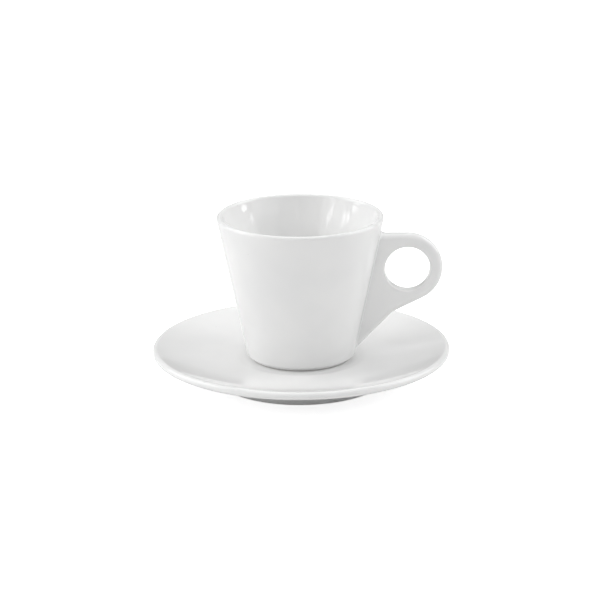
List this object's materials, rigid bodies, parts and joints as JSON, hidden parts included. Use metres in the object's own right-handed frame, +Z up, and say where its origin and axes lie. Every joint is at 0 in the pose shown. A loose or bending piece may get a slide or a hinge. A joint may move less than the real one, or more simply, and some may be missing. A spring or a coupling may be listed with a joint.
{
  "type": "espresso cup and saucer",
  "caption": "Conical white porcelain espresso cup with a flat pierced handle, standing in the soft well of a round shallow saucer; the cup lifts off.",
  "frame": {"origin": "centre of the saucer's foot ring, on the plane it stands on", "axes": "+Z up along the axis of the saucer and the cup, +X towards the cup's handle"},
  "size_m": [0.12, 0.12, 0.0683],
  "materials": {
    "saucer_porcelain": "glossy clear glaze over white porcelain",
    "cup_porcelain": "glossy clear glaze over white porcelain"
  },
  "bodies": {
    "saucer": {"saucer": "saucer_porcelain"},
    "cup": {"cup_body": "cup_porcelain", "cup_handle": "cup_porcelain"}
  },
  "joints": [
    {"name": "cup_lift", "type": "slide", "parent": "saucer", "child": "cup", "axis": [0, 0, 1], "range_m": [0, 0.1]}
  ]
}
